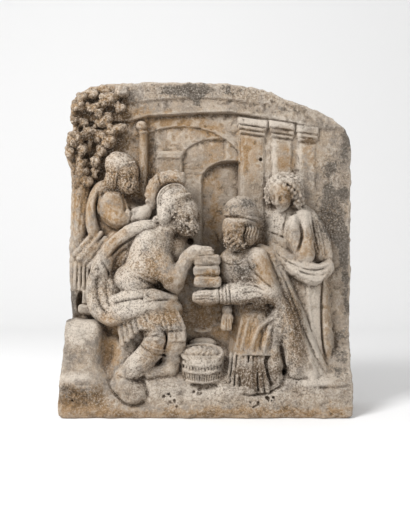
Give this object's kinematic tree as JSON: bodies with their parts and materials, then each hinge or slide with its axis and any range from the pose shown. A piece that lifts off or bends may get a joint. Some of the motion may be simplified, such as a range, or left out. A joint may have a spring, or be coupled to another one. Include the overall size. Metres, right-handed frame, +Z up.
{
  "type": "carved limestone relief",
  "caption": "Carved limestone relief of robed figures exchanging loaves before a colonnade, cut from a single block that stands on its flat base.",
  "frame": {"origin": "middle of the block's footprint, on its flat underside", "axes": "+Z up, carved face towards -Y, +X to the right of a viewer who faces the carving"},
  "size_m": [0.483, 0.15, 0.552],
  "materials": {
    "limestone": "weathered, matt, with grime in the hollows"
  },
  "bodies": {
    "root": {"relief_stone": "limestone"}
  },
  "joints": []
}
